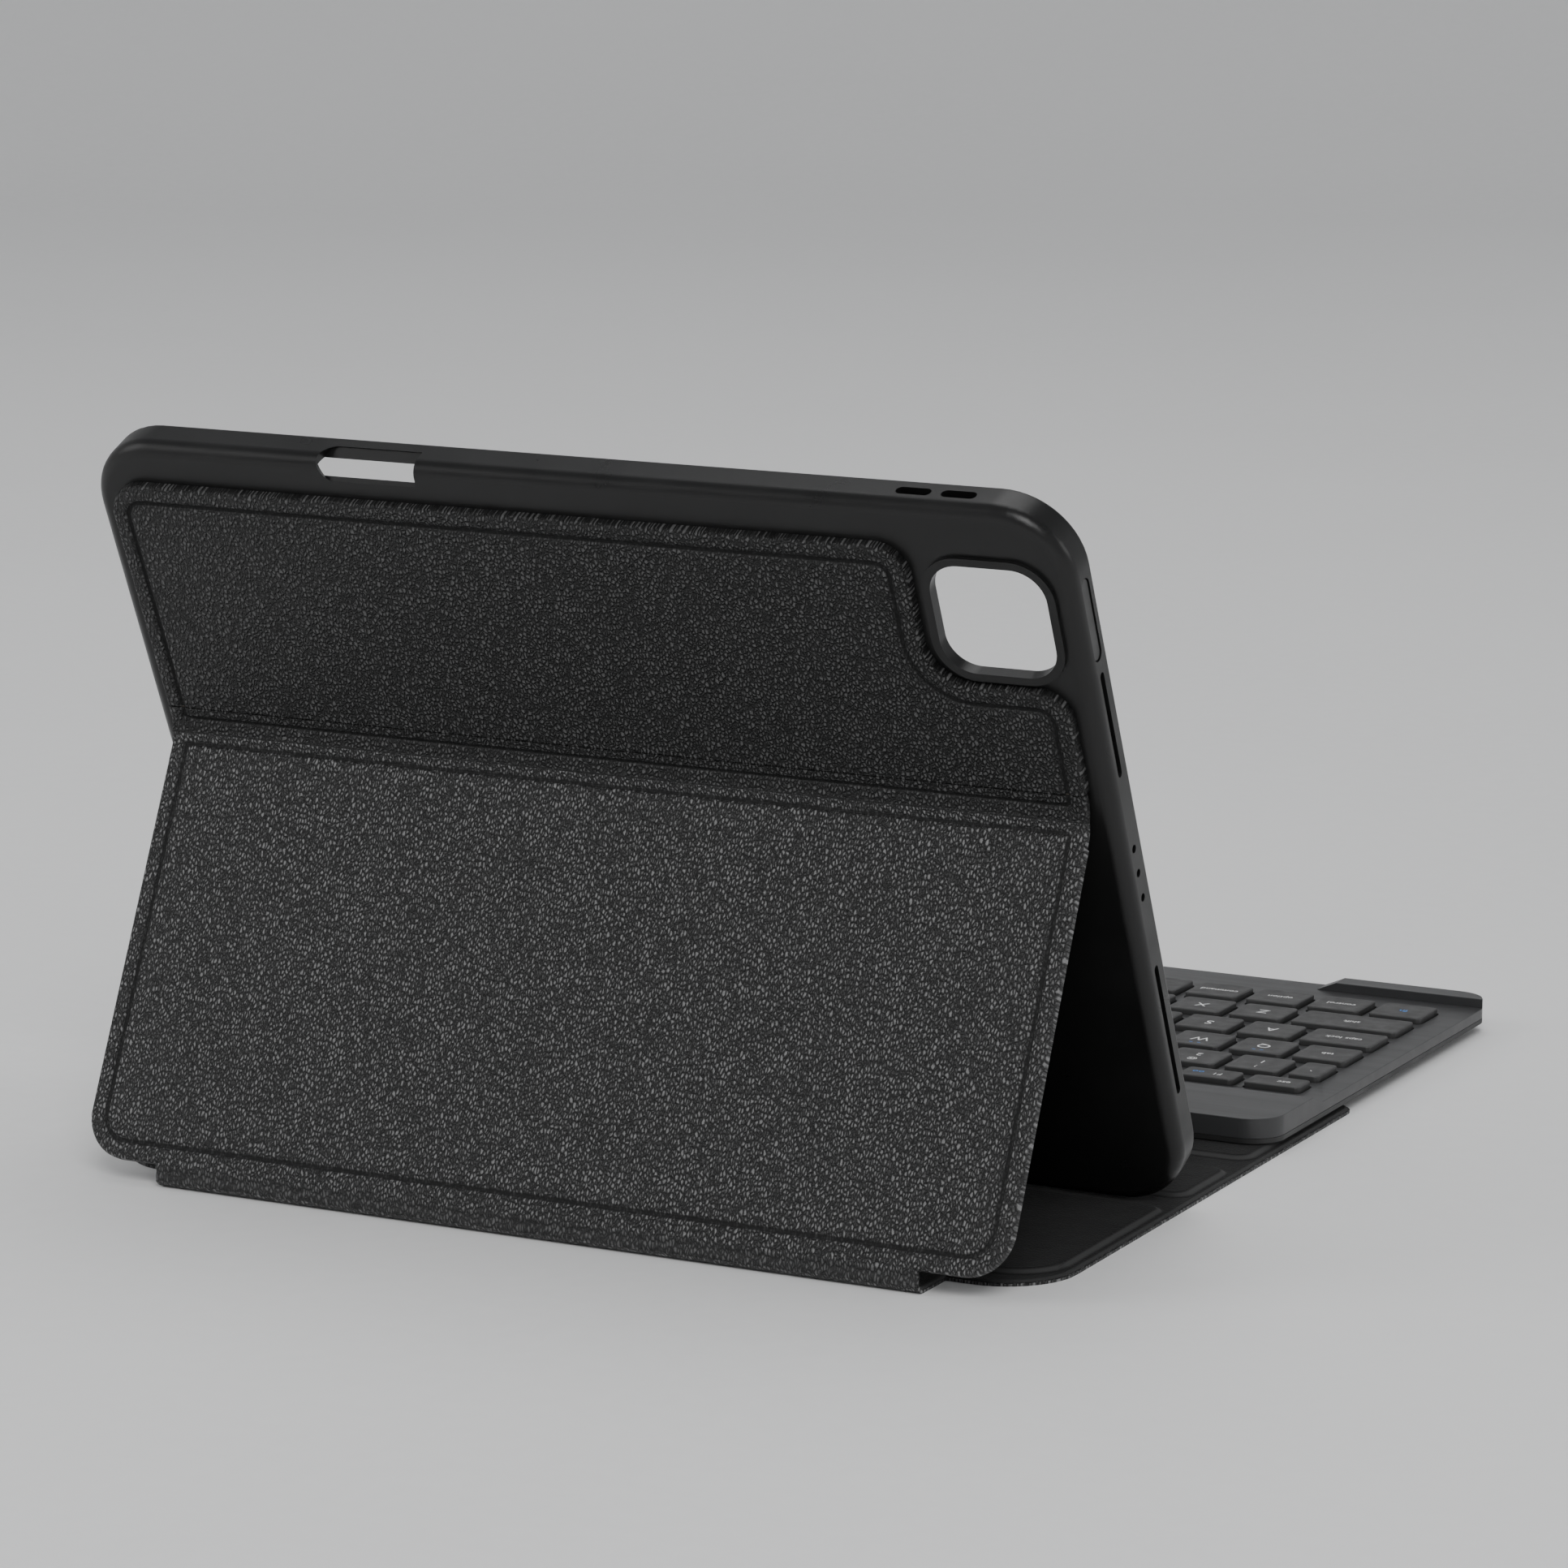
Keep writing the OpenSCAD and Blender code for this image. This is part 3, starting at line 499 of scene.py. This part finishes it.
NOTCH_X, NOTCH_S, NOTCH_R = -87.6, -33.8, 11
notch = rounded(-180, NOTCH_X, -140, NOTCH_S, NOTCH_R)
notched = both(rounded(-HALF_PANEL, HALF_PANEL, -UPPER_TOP, 60, 0.5), outside(notch), 8)
upper_edge = both(rounded(-HALF_PANEL, HALF_PANEL, -UPPER_TOP, 60, 9), notched, 0.01)


def below(s_end, shape):
    """The part of a shape on the shell side of s_end, with a straight cut."""
    return lambda x, s: np.maximum(shape(x, s), s - s_end)


def side_distance(shape):
    """How far inside a shape a point is, and 0 outside it."""
    return lambda x, s: np.maximum(-shape(x, s), 0)


upper_in = side_distance(upper_edge)
# The upper leather's groove is masked for painted shade, with its grain smoothed.
upper_leather = cut_sheet(
    "upper_leather",
    np.unique(np.concatenate([lines([-121.5, -114.5, -98.6, -87.6, -78.6], 0.4, 4, 8),
                              lines([-78.6, 112.5, 121.5], 0.4, 5, 6)])),
    np.unique(np.concatenate([lines([-69.7, -60.7, -44.8, -33.8, -26.8], 0.4, 4, 8),
                              lines([-26.8, -STRIP_UP], 0.4, 4, 3)])),
    below(-STRIP_UP, upper_edge),
    lambda x, s, e: SKIN + rolled(upper_in(x, s), EDGE_ROLL)
    + groove(upper_in(x, s), GROOVE_IN, GROOVE_WIDE, GROOVE_DEEP),
    lambda x, s, e: np.where(upper_in(x, s) < 0.7, -UPPER_T + SKIN + 0.02, 0.05),
    lambda s, h: shell_side(s, h - SKIN),
    "leather_fine", lambda x, s: channel(upper_in(x, s), GROOVE_IN))
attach(upper_leather, "shell")
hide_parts("upper_outer_skin")

# Strip across the crease: one skin, grooved on both sides, bent round the crease.
strip_edge = rounded(-HALF_PANEL, HALF_PANEL, -STRIP_UP - 30, STRIP_DOWN + 30, 0.01)
strip_in = side_distance(strip_edge)
LINE_UP, LINE_DOWN, LINE_WIDE = 4.2, 3.0, 1.1


def past_lines(s):
    """1 beyond the strip's two cross lines, where the side line starts again, and 0 between."""
    return np.maximum(eased(LINE_UP - 0.4, LINE_UP + 0.3, -s), eased(LINE_DOWN - 0.4, LINE_DOWN + 0.3, s))


def strip_top(x, s, e):
    sides = strip_in(x, s)
    across = np.minimum(groove(-s, LINE_UP, LINE_WIDE, 0.5), groove(s, LINE_DOWN, LINE_WIDE, 0.5))
    along = groove(sides, GROOVE_IN, GROOVE_WIDE, GROOVE_DEEP)
    return (SKIN + crease_lift(s) + rolled(sides, EDGE_ROLL)
            + np.minimum(across * (sides > GROOVE_IN), along * past_lines(s)))


# Mask for painted shade, with the grain smoothed, along the strip's cross lines, its side lines and the
# crease itself.
def strip_pressed(x, s):
    sides = strip_in(x, s)
    across = np.maximum(channel(-s, LINE_UP, LINE_WIDE), channel(s, LINE_DOWN, LINE_WIDE))
    return np.maximum.reduce([across * (sides > GROOVE_IN),
                              channel(sides, GROOVE_IN) * past_lines(s),
                              0.75 * channel(s, -0.1, 0.9)])


def strip_under(x, s, e):
    sides = strip_in(x, s)
    return crease_lift(s) + np.where(sides < 0.7, -1.0, 0.0)


crease_strip = cut_sheet(
    "crease_strip", lines([-121.5, 121.5], 0.4, 6, 6),
    lines([-STRIP_UP, STRIP_DOWN], 0.3, 1, 20),
    lambda x, s: np.maximum(strip_edge(x, s), np.maximum(-STRIP_UP - s, s - STRIP_DOWN)),
    strip_top, strip_under, run, "leather_fine", strip_pressed)
crease_strip.data.materials.append(MATERIAL["leather_pebble"])
flat_run = crease_strip.data.uv_layers["flat_run"].data
for face in crease_strip.data.polygons:
    if sum(flat_run[k].uv.y for k in face.loop_indices) > 0:
        face.material_index = 1
crosses(crease_strip)

# Folding panel: its leather runs on round the foot to the middle of the fold.
MID_FOLD = KICK + FOLD_LEN / 2
kick_edge = rounded(-HALF_PANEL, HALF_PANEL, -30, KICK - 0.5, 11)
INNER_X = 105
tongue = rounded(-HALF_FOLD, HALF_FOLD, 60, 400, 0.5)
kick_shape = either(kick_edge, tongue)
kick_in = side_distance(kick_shape)


def foot_dent(s):
    """Below the panel's foot both plies are pinched in, before they bulge to the table."""
    return -0.75 * np.exp(-(((s - KICK - 1.3) / 1.15) ** 2))


def kick_top(x, s, e):
    sides = kick_in(x, s)
    foot_groove = groove(KICK - 0.5 - s, GROOVE_IN, GROOVE_WIDE, GROOVE_DEEP) * (s < KICK - 0.6)
    edge_groove = groove(sides, GROOVE_IN, GROOVE_WIDE, GROOVE_DEEP) * (np.abs(x) > INNER_X)
    inner = np.abs(x) <= INNER_X
    roll = np.where(s < KICK - 0.5, EDGE_ROLL, 0.25)
    return SKIN + rolled(sides, roll) + edge_groove + np.where(inner, foot_groove, 0) + foot_dent(s)


# Mask for painted shade, with the grain smoothed, along the panel's grooves and over the leather past its
# foot, round the fold.
def kick_pressed(x, s):
    inner = np.abs(x) <= INNER_X
    lines_in = np.where(inner, channel(KICK - 0.5 - s, GROOVE_IN) * (s < KICK - 0.6),
                        channel(kick_in(x, s), GROOVE_IN))
    return np.maximum(lines_in, 0.62 * eased(KICK - 0.5, KICK + 0.4, s))


def kick_under(x, s, e):
    wrap = (kick_in(x, s) < 0.7) & (s < KICK - 0.4)
    return np.where(wrap, SKIN - PANEL_T, 0.0) + foot_dent(s)


kick_xs = np.unique(np.concatenate([lines([-121.5, -110.5, -100.5, -94], 0.4, 4, 8),
                                    lines([-94, 94], 0.5, 5, 0.5),
                                    lines([94, 100.5, 110.5, 121.5], 0.4, 4, 8)]))
kick_ss = np.unique(np.concatenate([lines([STRIP_DOWN, 92], 0.4, 4, 1),
                                    lines([92, KICK - 0.5, MID_FOLD], 0.35, 4, 20)]))
kick_leather = cut_sheet(
    "kick_leather", kick_xs, kick_ss,
    lambda x, s: np.maximum(kick_shape(x, s), np.maximum(STRIP_DOWN - s, s - MID_FOLD)),
    kick_top, kick_under, run, "leather_pebble", kick_pressed)
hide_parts("kick_outer_skin", "fold_outer_skin")
crosses(kick_leather)

kick_suede = cut_sheet(
    "kick_suede", kick_xs, np.unique(np.concatenate([lines([1.2, 92], 0.4, 4, 1),
                                                     lines([92, KICK - 0.5, MID_FOLD], 0.35, 4, 20)])),
    lambda x, s: np.maximum(either(rounded(-120.5, 120.5, -30, KICK - 1.5, 10), tongue)(x, s),
                            np.maximum(1.2 - s, s - MID_FOLD)),
    lambda x, s, e: -0.02 - (PANEL_T - PLY) * (1 - eased(KICK - 5.0, KICK - 0.5, s)) + foot_dent(s),
    lambda x, s, e: -SKIN - (PANEL_T - PLY) * (1 - eased(KICK - 5.0, KICK - 0.5, s))
    - rolled(e, 0.3) + foot_dent(s), run, "suede")
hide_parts("kick_lining", "fold_lining")
crosses(kick_suede)

# Base flap: leather below, suede above pressed over three raised plates, and a tongue to the fold.
base_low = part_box("base_outer_skin")[0]
FLAP_FRONT = base_low.y / MM
FLAP_REAR = CREASE_Y + 29.0
flap_s0, flap_s1 = float(table_s(FLAP_REAR)), float(table_s(FLAP_FRONT))


def flap(inset):
    """The flap's outline, with its own radii at the rear and the front."""
    w = HALF_BASE - inset
    rear = rounded(-w, w, flap_s0 + inset, flap_s0 + 120, 18 - inset)
    front = rounded(-w, w, flap_s0 + 60, flap_s1 - inset, 6 - inset)
    narrow = rounded(-HALF_FOLD + inset * 0.4, HALF_FOLD - inset * 0.4, 20, flap_s0 + 40, 0.3)
    return either(rear, front, narrow)


BOARDS = [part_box(n) for n in ("base_board_rear", "base_board_middle", "base_board_front")]
PLATE_RADII = ((12, 3), (3, 3), (3, 6))
PLATE_GROW = 0.6
plates = []
for (low, high), r in zip(BOARDS, PLATE_RADII):
    x0, x1 = low.x / MM - PLATE_GROW, high.x / MM + PLATE_GROW
    s0 = float(table_s(high.y / MM)) - PLATE_GROW
    s1 = float(table_s(low.y / MM)) + PLATE_GROW
    plates.append(rounded(x0, x1, s0, s1 - 8, r[0]))
    plates.append(rounded(x0, x1, s0 + 13, s1, r[1]))
plate_shape = either(*plates)
PLATE_RISE, PLATE_SLOPE = 1.1, 2.4


def base_high_side(x, s, e):
    """Suede above the table: pressed down along the rim, raised over the plates."""
    lift = PLATE_RISE * (1 - eased(0.0, PLATE_SLOPE, plate_shape(x, s)))
    return -(SKIN + lift + rolled(e, 0.45))


def suede_pressed(x, s):
    """The slopes of the plates and the flap's rim: their fibre relief is smoothed, and their colour
    carries a painted highlight.
    """
    high = 1 - eased(0.0, PLATE_SLOPE, plate_shape(x, s))
    rim = 1 - eased(0.5, 1.2, np.maximum(-flap(0.5)(x, s), 0))
    return np.maximum(4 * high * (1 - high), 0.7 * rim)


flap_xs = np.unique(np.concatenate([lines([-124.8, -113, -100.5, -94], 0.45, 3, 8),
                                    lines([-94, 94], 0.5, 6, 0.5),
                                    lines([94, 100.5, 113, 124.8], 0.45, 3, 8)]))
flap_breaks = sorted([MID_FOLD, TABLE_S, flap_s0, flap_s1]
                     + [float(table_s(v / MM)) for pair in BOARDS for v in (pair[0].y, pair[1].y)])
flap_ss = lines(flap_breaks, 0.42, 4, 6)
for name, inset, top, under, material, slot_name, node in (
        ("base_leather", 0.0, level(SKIN), level(0.0), "leather_pebble", "base_skin",
         "base_outer_skin"),
        ("base_suede", 0.5, level(-0.02), base_high_side, "suede", "suede_lining",
         "base_lining")):
    outline = flap(inset)
    sheet_piece = cut_sheet(
        name, flap_xs, flap_ss, lambda x, s, o=outline: np.maximum(o(x, s), MID_FOLD - s),
        top, under, run, material, suede_pressed if material == "suede" else None)
    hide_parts(node)
    crosses(sheet_piece)

# Microfibre on the floor of the tray.
tray_low, tray_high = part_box("tray_lining")
HOLE_X, HOLE_S, HOLE_HALF = -106, -51, 14.25
camera_hole = rounded(HOLE_X - HOLE_HALF, HOLE_X + HOLE_HALF, HOLE_S - HOLE_HALF,
                      HOLE_S + HOLE_HALF, 8)
BAY_FLOOR, BAY_TOP, LINING_D = -110.5, 68.6, 5.3
bay = rounded(tray_low.x / MM, tray_high.x / MM, -BAY_TOP, -BAY_FLOOR, 18)
tray = cut_sheet(
    "tray_microfibre",
    np.unique(np.concatenate([lines([-124.1, -120.25, -91.75, -86], 0.5, 4, 9),
                              lines([-86, 106, 124.1], 0.6, 6, 9)])),
    np.unique(np.concatenate([lines([-68.6, -65.25, -36.75, -30], 0.5, 4, 9),
                              lines([-30, 92.5, 110.5], 0.6, 6, 9)])),
    both(bay, outside(camera_hole), 0.01),
    level(-LINING_D + 0.48),
    lambda x, s, e: -LINING_D - rolled(e, 0.3),
    shell_side, "microfibre")
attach(tray, "shell")
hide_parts("tray_lining")

# ---------------------------------------------------------------- key caps and their legends
def islands(node):
    """The lowest and highest corners of each separate solid of a node, from left to right."""
    mesh = node.data
    parent = list(range(len(mesh.vertices)))

    def root(i):
        while parent[i] != i:
            parent[i] = parent[parent[i]]
            i = parent[i]
        return i

    same = {}
    for v in mesh.vertices:
        key = tuple(round(c, 7) for c in v.co)
        parent[root(v.index)] = root(same.setdefault(key, v.index))
    for e in mesh.edges:
        a, b = root(e.vertices[0]), root(e.vertices[1])
        parent[a] = b
    groups = {}
    for v in mesh.vertices:
        groups.setdefault(root(v.index), []).append(v.co)
    boxes = [(np.min(g, 0) / MM, np.max(g, 0) / MM) for g in map(np.array, groups.values())]
    return sorted(boxes, key=lambda b: (round(b[0][0]), -b[0][1]))


CAP_R, CORNER_STEPS = 1.4, 6


def ring(low, high, inset, z):
    """A rounded rectangle of points round a key's box."""
    r = max(CAP_R - inset, 0.35)
    x0, x1, y0, y1 = low[0] + inset, high[0] - inset, low[1] + inset, high[1] - inset
    found = []
    for cx, cy, start in ((x1 - r, y1 - r, 0), (x0 + r, y1 - r, 90), (x0 + r, y0 + r, 180),
                          (x1 - r, y0 + r, 270)):
        for k in range(CORNER_STEPS + 1):
            a = math.radians(start + 90 * k / CORNER_STEPS)
            found.append((cx + r * math.cos(a), cy + r * math.sin(a), z))
    return found


def cap_mesh(boxes):
    """Key caps: hollow below, a soft top edge and a slightly dished top."""
    points, faces = [], []
    for low, high in boxes:
        top = high[2]
        profile = [(0.8, top - 0.8), (0.8, low[2]), (0.05, low[2]), (0.0, low[2] + 0.1),
                   (0.0, top - 0.34), (0.06, top - 0.16), (0.18, top - 0.05), (0.36, top),
                   (1.2, top - 0.03), (2.2, top - 0.07), (3.2, top - 0.09)]
        first = len(points)
        size = 4 * (CORNER_STEPS + 1)
        deepest = min(high[0] - low[0], high[1] - low[1]) / 2 - 0.6
        profile = [p for p in profile if p[0] < deepest]
        for inset, z in profile:
            points += ring(low, high, inset, z)
        for k in range(len(profile) - 1):
            for i in range(size):
                a, b = first + k * size + i, first + k * size + (i + 1) % size
                faces.append((a, b, b + size, a + size))
        faces.append(tuple(first + size - 1 - i for i in range(size)))
        last = first + (len(profile) - 1) * size
        faces.append(tuple(last + i for i in range(size)))
    return np.array(points) * MM, faces


def written(word, x, y, z, height):
    """Points and faces of one printed word, centred on x and y."""
    curve = bpy.data.curves.new("legend", "FONT")
    curve.body, curve.size = word, height * MM
    curve.align_x, curve.align_y = "CENTER", "CENTER"
    curve.extrude, curve.resolution_u = 0.008 * MM, 3
    holder = bpy.data.objects.new("legend", curve)
    bpy.context.scene.collection.objects.link(holder)
    bpy.context.view_layer.update()
    mesh = bpy.data.meshes.new_from_object(holder)
    points = np.array([v.co for v in mesh.vertices]).reshape(-1, 3) + np.array([x, y, z]) * MM
    faces = [tuple(p.vertices) for p in mesh.polygons]
    bpy.data.objects.remove(holder)
    bpy.data.meshes.remove(mesh)
    bpy.data.curves.remove(curve)
    return points, faces


ROWS = {
    "function_keys": ("function_key_row", ["esc"] + [f"F{k}" for k in range(1, 13)]),
    "number_keys": ("number_key_row", list("`1234567890-=") + ["del"]),
    "upper_letter_keys": ("upper_letter_row", ["tab"] + list("QWERTYUIOP[") + ["]"]),
    "home_letter_keys": ("home_letter_row", ["caps lock"] + list("ASDFGHJKL;'") + ["enter"]),
    "lower_letter_keys": ("lower_letter_row", ["shift"] + list("ZXCVBNM,./") + ["shift"]),
    "command_keys": ("command_key_group", ["fn", "control", "option", "command", "command"]),
    "space_bar": ("space_bar_key", [""]),
    "arrow_keys": ("arrow_key_group", ["<", "^", "v", ">"]),
}
SHIFTED = dict(zip("1234567890", "!@#$%^&*()"))
PRINT_LIFT, DISH = 0.012, 0.07
SHORT_KEY = 8


def legends(node_name, tone, word, x, y, short):
    """The prints of one colour on a key, each as (text, x, y, height)."""
    if tone == "blue":
        if node_name == "function_keys" and word.startswith("F"):
            return [("oo", x + 3.6, y - 0.4, 3.0)]
        if word == "fn":
            return [("fn", x, y, 3.2)]
        return [("- -", x, y + 4.6, 3.6)] if word in ("Q", "W", "E") else []
    if not word or word == "fn":
        return []
    if node_name == "function_keys":
        return [(word, x - 1.8, y, 2.8)]
    if short:
        return [(word, x, y, 2.8)]
    if node_name == "number_keys" and word.isdigit():
        return [(word, x, y - 2.0, 3.6), (SHIFTED[word], x, y + 3.0, 2.8)]
    return [(word, x, y, 2.7 if len(word) > 1 else 4.8)]


for node_name, (body, words) in ROWS.items():
    boxes = islands(frame["nodes"][node_name])
    points, faces = cap_mesh(boxes)
    caps = mesh_object(node_name + "_caps", points, faces, "key_plastic", sharp=50)
    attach(caps, body)
    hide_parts(node_name)
    for tone in ("white", "blue"):
        pts, fcs = [], []
        for (low, high), word in zip(boxes, words):
            x, y, z = (low[0] + high[0]) / 2, (low[1] + high[1]) / 2, high[2] - DISH + PRINT_LIFT
            short = high[1] - low[1] < SHORT_KEY
            for text, px, py, height in legends(node_name, tone, word, x, y, short):
                p, f = written(text, px, py, z, height)
                fcs += [tuple(i + sum(len(q) for q in pts) for i in face) for face in f]
                pts.append(p)
        if pts:
            marks = mesh_object(f"{node_name}_{tone}_print", np.concatenate(pts), fcs,
                                "ink_" + tone)
            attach(marks, body)

# ---------------------------------------------------------------- floor and light
floor_mat = finish("floor", linear(240), 0.75, [("soft", 6.0, 0.05, EVEN)], vary=0.015,
                   vary_size=400)
floor_mesh = bpy.data.meshes.new("floor")
FLAT_R, CURVE, RISE, AROUND = 2.3, 1.2, 3.0, 96
profile = [(0.6, 0.0), (FLAT_R, 0.0)]
profile += [(FLAT_R + CURVE * math.sin(t), CURVE - CURVE * math.cos(t))
            for t in np.linspace(0.1, math.pi / 2, 16)]
profile += [(FLAT_R + CURVE, RISE)]
pts = [(0.0, 0.0, 0.0)]
pts += [(r * math.cos(2 * math.pi * k / AROUND), r * math.sin(2 * math.pi * k / AROUND), z)
        for r, z in profile for k in range(AROUND)]
quads = [(0, 1 + k, 1 + (k + 1) % AROUND) for k in range(AROUND)]
quads += [(1 + i * AROUND + k, 1 + (i + 1) * AROUND + k, 1 + (i + 1) * AROUND + (k + 1) % AROUND,
           1 + i * AROUND + (k + 1) % AROUND) for i in range(len(profile) - 1)
          for k in range(AROUND)]
floor_mesh.from_pydata(pts, [], quads)
floor_mesh.shade_smooth()
floor_mesh.materials.append(floor_mat)
floor = bpy.data.objects.new("floor", floor_mesh)
bpy.context.scene.collection.objects.link(floor)

TARGET = Vector((0.0, 0.0, 0.06))
for name, offset, size, power in (("key_light", (-0.9, 1.6, 1.5), 1.2, 24.0),
                                  ("side_light", (-2.0, -0.5, 0.7), 1.0, 6.0),
                                  ("fill_light", (1.6, 1.2, 0.9), 1.2, 9.0),
                                  ("top_light", (0.2, -0.6, 2.2), 1.6, 14.0)):
    lamp = bpy.data.lights.new(name, "AREA")
    lamp.shape, lamp.size, lamp.energy = "DISK", size, power
    held = bpy.data.objects.new(name, lamp)
    bpy.context.scene.collection.objects.link(held)
    held.location = TARGET + Vector(offset)
    held.rotation_euler = (-Vector(offset)).to_track_quat("-Z", "Y").to_euler()
world = bpy.data.worlds.new("studio")
bpy.context.scene.world = world
world.use_nodes = True
world.node_tree.nodes["Background"].inputs["Color"].default_value = (0.95, 0.97, 1.0, 1.0)
world.node_tree.nodes["Background"].inputs["Strength"].default_value = 0.30
